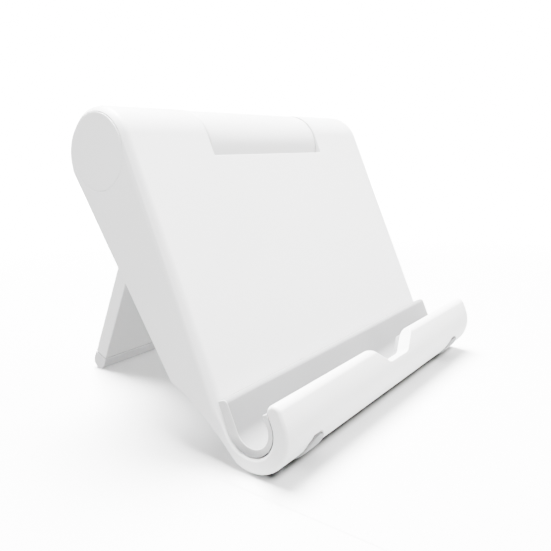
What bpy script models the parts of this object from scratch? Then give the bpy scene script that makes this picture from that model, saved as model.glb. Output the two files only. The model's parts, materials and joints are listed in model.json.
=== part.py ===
"""Folding tablet stand: a moulded plate with a J hook, and a leg that turns on a bolt along the plate's top edge.

Each piece is modelled in its own frame: X across the width, Y from the plate's front towards its back, Z up the
plate from the hook's bottom. An empty then leans the plate back, and a second empty on the hinge axis opens the
leg until its foot reaches the table. Lengths are in metres, angles in radians.
"""
import math

import bmesh
import bpy
from mathutils import Matrix, Vector

MM = 0.001
GAP = 0.3 * MM  # between pieces that touch
RUNNING = 0.1 * MM  # round the hinge bolt

# Overall
WIDTH = 114.0 * MM
AXIS_UP = 85.7 * MM  # hinge axis above the hook's bottom, along the plate
BARREL_R = 11.25 * MM  # also the axis's depth behind the plate's front
LEAN = math.radians(24.3)
BACK_TAPER = math.radians(9.3)
WALL = 2.6 * MM

# Hook
CHANNEL_R = 6.9 * MM
CHANNEL_FLOOR = 3.8 * MM
LIP_THICK = 4.0 * MM
LIP_TOP = 15.0 * MM
HOOK_R = 10.4 * MM
HOOK_SWEEP = math.radians(50)  # how far the round bottom runs towards the heel
HEEL_UP = 25.7 * MM
HEEL_SAG = 1.1 * MM
HEEL_WALL = 2.8 * MM

# Edges of the moulding
FRONT_EDGE_R = 2.5 * MM
HOOK_EDGE_R = 0.8 * MM
BACK_EDGE_R = 0.4 * MM
EDGE_BLEND = math.radians(70)  # turn of the barrel over which the crisp edge grows to the generous one

# Charging notch in the lip
NOTCH_FLOOR = 9.2 * MM
NOTCH_HALF = 6.2 * MM
NOTCH_FLARE = 5.2 * MM
NOTCH_ROUND = 3.0 * MM

# Knuckle of the leg, in the middle of the barrel
KNUCKLE_HALF = 27.0 * MM
KNUCKLE_LESS = 0.15 * MM  # under the barrel's radius
KNUCKLE_FIT = 0.35 * MM
KNUCKLE_GAP = 0.56  # how far the plate's top edge is below the axis, over the barrel's radius

# Leg
LEG_HALF = 34.7 * MM
LEG_THICK = 4.8 * MM
LEG_OFFSET = 0.6 * MM  # inner face behind the hinge axis
LEG_SHORT = 11.1 * MM  # the plate of the leg ends this far short of the hook's bottom
LEG_SHOULDER_FIT = 1.35 * MM
LEG_NECK_DEEP = 3.0 * MM  # how far the neck runs into the knuckle
LEG_CORNER_R = 2.5 * MM
LEG_FOLD_TILT = math.radians(3.5)  # the folded leg closes this far past parallel to the plate
LEG_FIT = 0.4 * MM
LEG_SIDE_FIT = 0.6 * MM
TONGUE_THICK = 2.0 * MM
TONGUE_LONG = 3.0 * MM
TONGUE_INSET = 1.7 * MM
FOOT_THICK = 5.2 * MM
FOOT_LONG = 5.1 * MM
FOOT_FACETS = 14  # in half a turn

# Back cover
COVER_T = 2.0 * MM
RIM_LAP = 2.2 * MM  # the cover's top end stands this far behind the shelf above the cavity
SHELF_IN = 2.6 * MM  # from the back line to the shelf
COVER_FOOT = 31.7 * MM
SCREW_SIDE = 11.0 * MM  # screw centres from the stand's sides
LOWER_SCREW_UP = 42.0 * MM
UPPER_SCREW_UNDER_AXIS = 19.7 * MM
SCREW_WELL_DEPTH = 8.0 * MM  # well's bottom, behind the plate's front
SCREW_SHANK_R = 1.25 * MM
SCREW_HEAD_R = 2.5 * MM
SCREW_HEAD_T = 1.8 * MM
SCREW_LONG = 6.0 * MM
WELL_WALL = 1.3 * MM
BOSS_R = 3.2 * MM
BOSS_ROOT = 1.0 * MM  # plastic left under the pilot hole

# Barrel housings and end caps
BARREL_WALL = 2.65 * MM
BARREL_SPARE = 0.05 * MM  # left round the barrel where the leg's recess passes it
WEB_T = 4.35 * MM
CAP_RIM = 1.8 * MM  # of the barrel's end face, round the cap
CAP_T = 1.8 * MM
CAP_SPIGOT = 4.0 * MM
CAP_SPIGOT_WALL = 1.5 * MM

# Hinge hardware
BOLT_R = 2.5 * MM
BOLT_HEAD_R = 4.4 * MM
BOLT_HEAD_T = 3.4 * MM
BOLT_SOCKET_R = 2.3 * MM
BOLT_SOCKET_DEEP = 2.0 * MM
BOLT_PROUD = 1.6 * MM
NUT_R = 4.6 * MM
NUT_T = 4.0 * MM
WASHER_R = 5.5 * MM
WASHER_T = 1.0 * MM
SPRING_T = 0.8 * MM
SPRING_CONE = 0.6 * MM
DISC_R = 7.0 * MM
DISC_T = 1.2 * MM
BUSH_R = 4.2 * MM
BUSH_LONG = 12.0 * MM
KNUCKLE_CORE_R = 3.3 * MM

# Liner of the channel
LINER_PLATE_T = 2.8 * MM
LINER_FLOOR_T = 1.8 * MM
LINER_LIP_T = 1.2 * MM
LINER_TOP = 18.5 * MM
LINER_LIP_TOP = 13.3 * MM
LINER_END = 0.4 * MM
LINER_ROUND = 1.1 * MM

# Rubber feet under the hook
HOOK_FOOT_SIDE = 13.0 * MM
HOOK_FOOT_WIDE = 7.2 * MM
HOOK_FOOT_PROUD = 0.5 * MM
HOOK_FOOT_DEEP = 1.0 * MM
HOOK_FOOT_STEP = math.radians(6.0)
HOOK_FOOT_FRONT = 12  # facets in front of the one that stands on the table
HOOK_FOOT_BACK = 3

# Worked out
LIP_FRONT = -(2 * CHANNEL_R + LIP_THICK)
CHANNEL_UP = CHANNEL_FLOOR + CHANNEL_R
KNUCKLE_R = BARREL_R - KNUCKLE_LESS
KNUCKLE_GAP_UP = AXIS_UP - KNUCKLE_GAP * BARREL_R
CAVITY_TOP = AXIS_UP - BARREL_R - 0.95 * MM
COVER_TOP = CAVITY_TOP + RIM_LAP
BORE_R = BARREL_R - BARREL_WALL
CAP_R = BARREL_R - CAP_RIM
LEG_END = AXIS_UP - LEG_SHORT
LEG_SHOULDER = BARREL_R + LEG_SHOULDER_FIT
LEG_NECK = KNUCKLE_R - LEG_NECK_DEEP
SCREW_UPS = {"lower": LOWER_SCREW_UP, "upper": AXIS_UP - UPPER_SCREW_UNDER_AXIS}
HOOK_CENTRE = (LIP_FRONT + HOOK_R, HOOK_R - 0.1 * MM)
AXIS = (BARREL_R, AXIS_UP)
CENTRE = WIDTH / 2
WEB_FROM = CENTRE - KNUCKLE_HALF - KNUCKLE_FIT - WEB_T

materials = {}


def material(name, color, roughness, metallic=0.0):
    """A Principled BSDF material, made once and then shared."""
    if name not in materials:
        made = bpy.data.materials.new(name)
        made.use_nodes = True
        shader = made.node_tree.nodes["Principled BSDF"]
        shader.inputs["Base Color"].default_value = (*color, 1.0)
        shader.inputs["Roughness"].default_value = roughness
        shader.inputs["Metallic"].default_value = metallic
        materials[name] = made
    return materials[name]


def white_abs():
    return material("white_abs", (0.86, 0.86, 0.86), 0.45)


def grey_silicone():
    return material("grey_silicone", (0.62, 0.62, 0.62), 0.7)


def grey_rubber():
    return material("grey_rubber", (0.5, 0.5, 0.5), 0.8)


def steel():
    return material("steel", (0.6, 0.6, 0.62), 0.3, 1.0)


def nylon():
    return material("nylon", (0.8, 0.78, 0.72), 0.5)


# ---------------------------------------------------------------- outlines, as (y, z) or (x, z) points


def arc(centre, radius, start, end, steps):
    """Points on a circle from one angle to another, in degrees from the first axis towards the second."""
    angles = [math.radians(start + (end - start) * i / steps) for i in range(steps + 1)]
    return [(centre[0] + radius * math.cos(a), centre[1] + radius * math.sin(a)) for a in angles]


def back_line(up, inset=0.0):
    """Depth of the sloping back at a height along the plate, or of a line that far inside it."""
    return AXIS[0] + (BARREL_R - inset) / math.cos(BACK_TAPER) + (up - AXIS[1]) * math.tan(BACK_TAPER)


def recess_floor(up):
    """Depth of the floor that the folded leg lies on, which turns with the fold's extra tilt."""
    along = AXIS[1] - up
    face = (LEG_OFFSET - LEG_FIT) / math.cos(LEG_FOLD_TILT)
    return AXIS[0] + face - along * math.tan(LEG_FOLD_TILT)


def sweep_start():
    angle = HOOK_SWEEP - math.pi / 2
    return (HOOK_CENTRE[0] + HOOK_R * math.cos(angle), HOOK_CENTRE[1] + HOOK_R * math.sin(angle))


def underside(steps, inset=0.0):
    """The slightly hollow stretch from the hook's round bottom to the heel."""
    first = Vector(sweep_start())
    last = Vector((back_line(HEEL_UP), HEEL_UP))
    chord = (last - first).normalized()
    inward = Vector((-chord.y, chord.x))
    points = []
    for i in range(steps + 1):
        t = i / steps
        points.append(tuple(first.lerp(last, t) + inward * (inset + 4 * HEEL_SAG * t * (1 - t))))
    return points


def side_outline():
    """The stand's side view, anticlockwise from the barrel's back: barrel, plate, channel, lip, hook, heel."""
    lip_r = LIP_THICK / 2
    lip_centre = (LIP_FRONT + lip_r, LIP_TOP - lip_r)
    points = arc(AXIS, BARREL_R, -math.degrees(BACK_TAPER), 180, 30)
    points.append((0.0, CHANNEL_UP + 6 * MM))
    points += arc((-CHANNEL_R, CHANNEL_UP), CHANNEL_R, 0, -180, 16)
    points += arc(lip_centre, lip_r, 0, 180, 8)
    points += arc(HOOK_CENTRE, HOOK_R, 180, 270 + math.degrees(HOOK_SWEEP), 16)
    points += underside(5)[1:]
    return points


def notch_outline(inset=0.0):
    """The charging notch, seen from the front, from far above the lip down to its floor."""
    half = NOTCH_HALF + inset
    floor = NOTCH_FLOOR - inset
    top = LIP_TOP + 4 * MM
    shoulder = half + NOTCH_FLARE
    low = arc((half - NOTCH_ROUND / 2, floor + NOTCH_ROUND), NOTCH_ROUND, -90, -35, 4)
    high = arc((shoulder + NOTCH_ROUND * 0.8, LIP_TOP - NOTCH_ROUND), NOTCH_ROUND, 145, 90, 4)
    right = low + high + [(shoulder + NOTCH_ROUND * 0.8, top)]
    left = [(-x, z) for x, z in reversed(right)]
    return [(CENTRE + x, z) for x, z in left + right]


# ---------------------------------------------------------------- solids


def mesh_object(name, bm, surface, smooth=None):
    bmesh.ops.recalc_face_normals(bm, faces=bm.faces)
    mesh = bpy.data.meshes.new(name)
    bm.to_mesh(mesh)
    bm.free()
    made = bpy.data.objects.new(name, mesh)
    bpy.context.scene.collection.objects.link(made)
    if surface:
        mesh.materials.append(surface)
    if smooth:
        mesh.shade_smooth()
        mesh.set_sharp_from_angle(angle=math.radians(smooth))
    return made


def prism(name, outline, along, start, end, surface=None, smooth=None):
    """An outline extruded along X (points are y, z), Y (points are x, z) or Z (points are x, y)."""
    place = {
        "X": lambda a, b: (start, a, b),
        "Y": lambda a, b: (a, start, b),
        "Z": lambda a, b: (a, b, start),
    }[along]
    shift = Vector([(end - start) if along == axis else 0.0 for axis in "XYZ"])
    bm = bmesh.new()
    face = bm.faces.new([bm.verts.new(place(a, b)) for a, b in outline])
    grown = bmesh.ops.extrude_face_region(bm, geom=[face])
    moved = [item for item in grown["geom"] if isinstance(item, bmesh.types.BMVert)]
    bmesh.ops.translate(bm, verts=moved, vec=shift)
    return mesh_object(name, bm, surface, smooth)


def turned(name, profile, closed, steps, surface=None, turn=None, smooth=35):
    """A profile of (x, radius) points spun round X, then put where turn says."""
    bm = bmesh.new()
    verts = [bm.verts.new((x, 0.0, r)) for x, r in profile]
    pairs = list(zip(verts, verts[1:]))
    if closed:
        pairs.append((verts[-1], verts[0]))
    edges = [bm.edges.new(pair) for pair in pairs]
    bmesh.ops.spin(bm, geom=verts + edges, cent=(0, 0, 0), axis=(1, 0, 0), angle=2 * math.pi, steps=steps)
    bmesh.ops.remove_doubles(bm, verts=bm.verts, dist=1e-6)
    bm.normal_update()
    middles = [v for v in bm.verts if math.hypot(v.co.y, v.co.z) < 1e-6]
    flat = [v for v in middles if all(abs(face.normal.x) > 0.999 for face in v.link_faces)]
    bmesh.ops.dissolve_verts(bm, verts=flat)
    if turn:
        bmesh.ops.transform(bm, matrix=turn, verts=bm.verts)
    return mesh_object(name, bm, surface, smooth)


def rod(name, radius, start, end, steps=32, surface=None, turn=None):
    profile = [(start, 0.0), (start, radius), (end, radius), (end, 0.0)]
    return turned(name, profile, False, steps, surface, turn)


def on_axis(x=0.0):
    """Puts a turned piece on the hinge axis."""
    return Matrix.Translation((x, AXIS[0], AXIS[1]))


def pointing_back(x, up):
    """Turns a piece's X to Y, so that it stands on the plate's back at this place."""
    return Matrix.Translation((x, 0.0, up)) @ Matrix.Rotation(math.pi / 2, 4, "Z")


def combine(target, tool, operation):
    """A Boolean with a helper, which is then hidden from the render."""
    change = target.modifiers.new(operation.lower() + "_" + tool.name, "BOOLEAN")
    change.operation = operation
    change.object = tool
    tool.hide_render = True
    tool.display_type = "WIRE"
    tool.parent = target.parent


def cut(target, tool):
    combine(target, tool, "DIFFERENCE")


def join(target, tool):
    combine(target, tool, "UNION")


def inset_directions(outline):
    """For each point of an anticlockwise outline, the way in, as long as it must be for a one-unit inset."""
    found = []
    for i, here in enumerate(outline):
        before = (Vector(here) - Vector(outline[i - 1])).normalized()
        after = (Vector(outline[(i + 1) % len(outline)]) - Vector(here)).normalized()
        first, second = Vector((-before.y, before.x)), Vector((-after.y, after.x))
        found.append((first + second) / (1 + first.dot(second)))
    return found


def rounded_prism(name, outline, radii, width, steps, surface):
    """An outline extruded along X, its two end edges rounded by the radius given for each point."""
    ways = inset_directions(outline)
    rows = []
    for step in range(steps + 1):
        turn = math.pi / 2 * step / steps
        row = []
        for point, way, radius in zip(outline, ways, radii):
            inset = radius * (1 - math.sin(turn))
            row.append((radius * (1 - math.cos(turn)), point[0] + way.x * inset, point[1] + way.y * inset))
        rows.append(row)
    rows += [[(width - x, y, z) for x, y, z in row] for row in reversed(rows)]
    bm = bmesh.new()
    loops = [[bm.verts.new(point) for point in row] for row in rows]
    for one, other in zip(loops, loops[1:]):
        for i in range(len(one)):
            bm.faces.new((one[i - 1], one[i], other[i], other[i - 1]))
    bm.faces.new(loops[0])
    bm.faces.new(loops[-1])
    return mesh_object(name, bm, surface)


def shell_edge_radius(point):
    """Generous on the plate and barrel, small round the hook, and crisp along the back."""
    depth, up = point
    if depth > back_line(up) - 0.1 * MM and up > HEEL_UP - 0.1 * MM:
        return BACK_EDGE_R
    if up > AXIS_UP - BARREL_R / 2 and depth > 0.1 * MM:
        angle = math.atan2(up - AXIS[1], depth - AXIS[0])
        part = min(1.0, max(0.0, (angle + BACK_TAPER) / EDGE_BLEND))
        return BACK_EDGE_R + (FRONT_EDGE_R - BACK_EDGE_R) * part
    if up > CHANNEL_UP + 1 * MM and -0.1 * MM < depth < 0.1 * MM:
        return FRONT_EDGE_R
    return HOOK_EDGE_R


def sides(name):
    """Left and right, with the place and direction of each."""
    return [("left" + name, 0.0, 1), ("right" + name, WIDTH, -1)]


# ---------------------------------------------------------------- the moulded plate and its hook


def front_shell():
    outline = side_outline()
    shell = rounded_prism("front_shell", outline, [shell_edge_radius(p) for p in outline], WIDTH, 3, white_abs())
    cut(shell, cavity())
    cut(shell, leg_recess())
    cut(shell, knuckle_room())
    seat, hole, past = CAP_T + 0.4 * MM, BOLT_R + GAP, WEB_FROM + 2 * WEB_T
    stepped = [(-MM, 0.0), (-MM, CAP_R + GAP), (seat, CAP_R + GAP), (seat, BORE_R), (WEB_FROM, BORE_R)]
    stepped += [(WEB_FROM, hole), (past, hole), (past, 0.0)]
    for name, face, way in sides("_housing"):
        placed = [(face + way * x, r) for x, r in stepped]
        cut(shell, turned("cut_" + name, placed, False, 40, None, on_axis()))
    cut(shell, prism("cut_charging_notch", notch_outline(), "Y", LIP_FRONT - MM, LIP_FRONT + LIP_THICK + MM))
    for side, x in hook_foot_places():
        cut(shell, hook_foot_block("cut_pocket_" + side, x, GAP, HOOK_FOOT_DEEP + GAP, 2 * MM, None))
    for name, x, up in screw_places():
        join(shell, rod("boss_" + name, BOSS_R, WALL - MM, SCREW_WELL_DEPTH - GAP, 20, None, pointing_back(x, up)))
    pilot = SCREW_SHANK_R + GAP
    for name, x, up in screw_places():
        cut(shell, rod("pilot_" + name, pilot, WALL + BOSS_ROOT, SCREW_WELL_DEPTH + MM, 16, None, pointing_back(x, up)))
    return shell


def inner_underside():
    """The line inside the underside's wall, from the plate's inner face to past the heel."""
    points = underside(5, HEEL_WALL)
    (y0, z0), (y1, z1) = points[-2], points[-1]
    reach = 2.0
    points.append((y1 + (y1 - y0) * reach, z1 + (z1 - z0) * reach))
    return [(y, z) for y, z in points if y > WALL + 0.5 * MM]


def inside_height(depth):
    """How high the underside's inner face is at a depth, with room above it."""
    points = inner_underside()
    for (y0, z0), (y1, z1) in zip(points, points[1:]):
        if y0 <= depth <= y1:
            return z0 + (depth - y0) / (y1 - y0) * (z1 - z0) + 2 * GAP
    return HEEL_UP


def shelf_depth():
    return back_line(CAVITY_TOP) - SHELF_IN


def cavity():
    """The hollow between the plate and the back cover, with the opening that the cover closes."""
    inner = inner_underside()
    heel = COVER_FOOT - GAP
    low = [(y, z) for y, z in inner if z < heel]
    before, after = low[-1], [point for point in inner if point[1] >= heel][0]
    t = (heel - before[1]) / (after[1] - before[1])
    corner = (before[0] + t * (after[0] - before[0]), heel)
    first = low[0]
    outline = [(WALL, first[1] - MM)] + low + [corner, (4 * BARREL_R, heel)]
    shelf = shelf_depth()
    outline += [(4 * BARREL_R, COVER_TOP + GAP), (shelf, COVER_TOP + GAP), (shelf, CAVITY_TOP)]
    outline += [(WALL, CAVITY_TOP)]
    return prism("cut_cavity", outline, "X", WALL, WIDTH - WALL)


def recess_sides():
    reach = LEG_HALF + LEG_SIDE_FIT
    return CENTRE - reach, CENTRE + reach


def leg_recess():
    """Room for the folded leg and for its shoulders as they swing past the housings."""
    low, high = -2 * MM, CAVITY_TOP + 0.4 * MM
    start = math.degrees(math.atan2(high - AXIS[1], recess_floor(high) - AXIS[0]))
    turn = arc(AXIS, BARREL_R + BARREL_SPARE, start, 60, 28)
    outline = [(recess_floor(low), low), (recess_floor(high), high)] + turn
    outline += [(turn[-1][0], AXIS_UP + 3 * BARREL_R), (4 * BARREL_R, AXIS_UP + 3 * BARREL_R), (4 * BARREL_R, low)]
    left, right = recess_sides()
    return prism("cut_leg_recess", outline, "X", left, right)


def knuckle_room():
    """Room for the knuckle: a round trough, and everything above the plate's top edge."""
    reach = KNUCKLE_HALF + KNUCKLE_FIT
    radius = KNUCKLE_R + KNUCKLE_FIT
    dip = math.degrees(math.asin((AXIS_UP - KNUCKLE_GAP_UP) / radius))
    rise = AXIS_UP + 2 * BARREL_R
    outline = [(-BARREL_R, KNUCKLE_GAP_UP)] + arc(AXIS, radius, 180 + dip, 360 - dip, 30)
    outline += [(4 * BARREL_R, KNUCKLE_GAP_UP), (4 * BARREL_R, rise), (-BARREL_R, rise)]
    return prism("cut_knuckle_room", outline, "X", CENTRE - reach, CENTRE + reach)


# ---------------------------------------------------------------- back cover and its screws


def screw_places():
    found = []
    for side, face, way in sides(""):
        for level, up in SCREW_UPS.items():
            found.append((level + "_" + side, face + way * SCREW_SIDE, up))
    return found


def cover_profiles():
    """The cover's flat stretches in the side view: cheek, recess wall and recess floor."""
    foot, top = COVER_FOOT, COVER_TOP
    high = CAVITY_TOP - GAP
    low_outer = inside_height(recess_floor(HEEL_UP))
    low_inner = inside_height(recess_floor(HEEL_UP) - COVER_T)
    cheek = [(back_line(foot), foot), (back_line(top), top)]
    cheek += [(back_line(top, COVER_T), top), (back_line(foot, COVER_T), foot)]
    floor = [(recess_floor(low_outer), low_outer), (recess_floor(high), high)]
    floor += [(recess_floor(high) - COVER_T, high), (recess_floor(low_inner) - COVER_T, low_inner)]
    wall = [(recess_floor(low_outer), low_outer), (back_line(foot) - 0.8 * MM, foot), (back_line(foot), foot)]
    wall += [(back_line(top), top), (shelf_depth() + GAP, top), (shelf_depth() + GAP, high)]
    wall += [(recess_floor(high) - COVER_T, high), (recess_floor(low_inner) - COVER_T, low_inner)]
    return cheek, wall, floor


def back_cover():
    cheek, wall, floor = cover_profiles()
    left, right = recess_sides()
    edge = WALL + GAP
    cover = prism("back_cover", floor, "X", left - COVER_T, right + COVER_T, white_abs())
    join(cover, prism("left_recess_wall", wall, "X", left - COVER_T, left))
    join(cover, prism("right_recess_wall", wall, "X", right, right + COVER_T))
    join(cover, prism("left_cheek", cheek, "X", edge, left - COVER_T / 2))
    join(cover, prism("right_cheek", cheek, "X", right + COVER_T / 2, WIDTH - edge))
    for name, x, up in screw_places():
        place = pointing_back(x, up)
        well = SCREW_HEAD_R + GAP * 1.5
        bottom = SCREW_WELL_DEPTH + COVER_T
        shelf = back_line(up) - 0.6 * MM
        join(cover, rod("well_" + name, well + WELL_WALL, SCREW_WELL_DEPTH, shelf, 24, None, place))
        cut(cover, rod("counterbore_" + name, well, bottom, 3 * BARREL_R, 24, None, place))
        cut(cover, rod("clearance_" + name, SCREW_SHANK_R + GAP, 0.0, 3 * BARREL_R, 16, None, place))
    return cover


def cover_screws():
    for name, x, up in screw_places():
        seat = SCREW_WELL_DEPTH + COVER_T + GAP
        tip = seat - SCREW_LONG
        profile = [(tip, 0.0), (tip + 0.9 * MM, SCREW_SHANK_R), (seat, SCREW_SHANK_R), (seat, SCREW_HEAD_R)]
        profile += [(seat + SCREW_HEAD_T * 0.6, SCREW_HEAD_R), (seat + SCREW_HEAD_T, SCREW_HEAD_R * 0.6)]
        profile += [(seat + SCREW_HEAD_T, 0.0)]
        screw = turned("cover_screw_" + name, profile, False, 24, steel(), pointing_back(x, up))
        half = 0.35 * MM
        for number, (a, b) in enumerate([(half, SCREW_HEAD_R * 0.55), (SCREW_HEAD_R * 0.55, half)]):
            slot = [(x - a, up - b), (x + a, up - b), (x + a, up + b), (x - a, up + b)]
            top = seat + SCREW_HEAD_T
            cut(screw, prism("cut_drive_%s_%d" % (name, number), slot, "Y", top - 0.9 * MM, top + MM))
        yield screw


# ---------------------------------------------------------------- hinge


def end_caps():
    """Domed covers of the housings, each with a spigot in the bore."""
    for name, face, way in sides("_end_cap"):
        spigot = BORE_R - GAP
        inner = spigot - CAP_SPIGOT_WALL
        profile = [(0.0, 0.0), (0.0, CAP_R * 0.78), (0.06, CAP_R * 0.92), (0.35, CAP_R)]
        profile = [(x * MM if x else 0.0, r) for x, r in profile]
        profile += [(CAP_T, CAP_R), (CAP_T, spigot), (CAP_T + CAP_SPIGOT, spigot)]
        profile += [(CAP_T + CAP_SPIGOT, inner), (CAP_T, inner), (CAP_T, 0.0)]
        placed = [(face + way * x, r) for x, r in profile]
        yield turned(name, placed, False, 48, white_abs(), on_axis())


def ring(name, start, end, inner, outer, surface, steps=32):
    profile = [(start, inner), (start, outer), (end, outer), (end, inner)]
    return turned(name, profile, True, steps, surface, on_axis())


def hinge_bolt():
    """A bolt through both housings and the knuckle, its head in the left housing."""
    under_head = WEB_FROM - GAP - WASHER_T - GAP
    head = under_head - BOLT_HEAD_T
    end = nut_start() + NUT_T + BOLT_PROUD
    profile = [(head, 0.0), (head, BOLT_HEAD_R - 0.5 * MM), (head + 0.5 * MM, BOLT_HEAD_R)]
    profile += [(under_head, BOLT_HEAD_R), (under_head, BOLT_R), (end - 0.8 * MM, BOLT_R)]
    profile += [(end, BOLT_R - 0.8 * MM), (end, 0.0)]
    bolt = turned("hinge_bolt", profile, False, 32, steel(), on_axis())
    cut(bolt, rod("cut_socket", BOLT_SOCKET_R, head - MM, head + BOLT_SOCKET_DEEP, 6, None, on_axis()))
    return bolt


def spring_starts():
    first = WIDTH - WEB_FROM + GAP
    pitch = SPRING_T + SPRING_CONE + GAP
    return first, first + pitch, first + 2 * pitch


def nut_start():
    return spring_starts()[2] + WASHER_T + GAP


def lock_nut():
    start = nut_start()
    hexagon = arc(AXIS, NUT_R, 0, 300, 5)
    nut = prism("lock_nut", hexagon, "X", start, start + NUT_T, steel())
    cut(nut, rod("cut_nut_hole", BOLT_R + GAP, start - MM, start + NUT_T + MM, 32, None, on_axis()))
    return nut


def disc_spring(name, start, way):
    """A cone washer; way is which rim touches its neighbour."""
    lean = SPRING_CONE if way > 0 else 0.0
    other = SPRING_CONE - lean
    inner, outer = BOLT_R + GAP, WASHER_R
    profile = [(start + lean, inner), (start + other, outer)]
    profile += [(start + other + SPRING_T, outer), (start + lean + SPRING_T, inner)]
    return turned(name, profile, True, 32, steel(), on_axis())


def washers():
    hole = BOLT_R + GAP
    head_side = WEB_FROM - GAP - WASHER_T
    nut_side = spring_starts()[2]
    yield ring("bolt_washer", head_side, head_side + WASHER_T, hole, WASHER_R, steel())
    yield ring("nut_washer", nut_side, nut_side + WASHER_T, hole, WASHER_R, steel())
    yield disc_spring("disc_spring_inner", spring_starts()[0], 1)
    yield disc_spring("disc_spring_outer", spring_starts()[1], -1)


def friction_discs():
    start = CENTRE - KNUCKLE_HALF
    yield ring("left_friction_disc", start, start + DISC_T, BOLT_R + GAP, DISC_R, nylon())
    end = CENTRE + KNUCKLE_HALF
    yield ring("right_friction_disc", end - DISC_T, end, BOLT_R + GAP, DISC_R, nylon())


def bushes():
    """Plain bearings at the knuckle's ends, behind the friction discs. They turn with the leg."""
    start = CENTRE - KNUCKLE_HALF + DISC_T + 2 * GAP
    yield ring("left_bush", start, start + BUSH_LONG, BOLT_R + RUNNING, BUSH_R, nylon())
    end = CENTRE + KNUCKLE_HALF - DISC_T - 2 * GAP
    yield ring("right_bush", end - BUSH_LONG, end, BOLT_R + RUNNING, BUSH_R, nylon())


# ---------------------------------------------------------------- leg, in its own frame: axis at the origin, leg down Z


def knuckle_profile():
    """Half of the knuckle's bored section, then the other half mirrored."""
    face = CENTRE - KNUCKLE_HALF
    disc_seat = face + DISC_T + GAP
    bush_seat = disc_seat + BUSH_LONG + 2 * GAP
    inside = [(face, DISC_R + GAP), (disc_seat, DISC_R + GAP), (disc_seat, BUSH_R + GAP)]
    inside += [(bush_seat, BUSH_R + GAP), (bush_seat, KNUCKLE_CORE_R)]
    rim = 0.5 * MM
    outside = [(face + rim, KNUCKLE_R), (face, KNUCKLE_R - rim)]
    mirrored = [(WIDTH - x, r) for x, r in reversed(outside + inside)]
    return outside + inside + mirrored


def leg():
    knuckle = turned("leg", knuckle_profile(), True, 64, white_abs())
    inner, outer = LEG_OFFSET, LEG_OFFSET + LEG_THICK
    neck = [(CENTRE - KNUCKLE_HALF, -LEG_NECK), (CENTRE + KNUCKLE_HALF, -LEG_NECK)]
    r = LEG_CORNER_R
    right = [(CENTRE + KNUCKLE_HALF, -LEG_SHOULDER)]
    right += arc((CENTRE + LEG_HALF - r, -LEG_SHOULDER - r), r, 90, 0, 4) + [(CENTRE + LEG_HALF, -LEG_END)]
    left = [(2 * CENTRE - x, z) for x, z in reversed(right)]
    join(knuckle, prism("leg_plate", neck + right + left, "Y", inner, outer))
    middle = (inner + outer) / 2
    half = LEG_HALF - TONGUE_INSET
    tongue = [(CENTRE - half, -LEG_END + MM), (CENTRE + half, -LEG_END + MM)]
    tongue += [(CENTRE + half, -LEG_END - TONGUE_LONG), (CENTRE - half, -LEG_END - TONGUE_LONG)]
    join(knuckle, prism("tongue", tongue, "Y", middle - TONGUE_THICK / 2, middle + TONGUE_THICK / 2))
    return knuckle


def foot_centre():
    """Depth and distance along the leg of the foot's round end."""
    return LEG_OFFSET + LEG_THICK / 2, LEG_END + GAP + FOOT_LONG - FOOT_THICK / 2


def leg_foot():
    """A rubber sleeve along the leg's end. One facet of its round end lies flat on the table at rest."""
    depth, along = foot_centre()
    step = 180 / FOOT_FACETS
    flat = -90 - math.degrees(leg_angle())
    first = flat - step * (round((flat + 180) / step) - 0.5) - step
    round_end = arc((depth, -along), FOOT_THICK / 2, first, first + step * (FOOT_FACETS + 2), FOOT_FACETS + 2)
    round_end = [(y, z) for y, z in round_end if z < -along]
    half = FOOT_THICK / 2
    top = -LEG_END - GAP
    outline = [(depth - half, top), (depth - half, -along)] + round_end + [(depth + half, -along), (depth + half, top)]
    left, right = CENTRE - LEG_HALF, CENTRE + LEG_HALF
    foot = prism("leg_foot", outline, "X", left, right, grey_rubber(), 40)
    reach = TONGUE_INSET - GAP
    slot_half = TONGUE_THICK / 2 + GAP
    low = -LEG_END - TONGUE_LONG - GAP
    slot = [(depth - slot_half, top + MM), (depth + slot_half, top + MM), (depth + slot_half, low), (depth - slot_half, low)]
    cut(foot, prism("cut_tongue_slot", slot, "X", left + reach, right - reach))
    return foot


# ---------------------------------------------------------------- soft pieces of the hook


def channel_liner():
    """A silicone strip that lines the channel, thick on the plate's side and thin on the lip's."""
    outer_r = CHANNEL_R - GAP
    centre = (-CHANNEL_R, CHANNEL_UP)
    front = -GAP - LINER_PLATE_T
    lip = centre[0] - outer_r + LINER_LIP_T
    inner_r = (front - lip) / 2
    inner = ((front + lip) / 2, centre[1] - outer_r + LINER_FLOOR_T + inner_r)
    outline = arc(centre, outer_r, 0, -180, 16) + [(centre[0] - outer_r, LINER_LIP_TOP), (lip, LINER_LIP_TOP)]
    outline += arc(inner, inner_r, 180, 360, 14)
    outline += arc((front + LINER_ROUND, LINER_TOP - LINER_ROUND), LINER_ROUND, 180, 90, 4)
    outline += [(-GAP, LINER_TOP)]
    liner = prism("channel_liner", outline, "X", LINER_END, WIDTH - LINER_END, grey_silicone(), 40)
    cut(liner, prism("cut_liner_notch", notch_outline(GAP), "Y", LIP_FRONT, inner[0]))
    return liner


def hook_foot_places():
    return [("left", HOOK_FOOT_SIDE), ("right", WIDTH - HOOK_FOOT_SIDE)]


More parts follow.
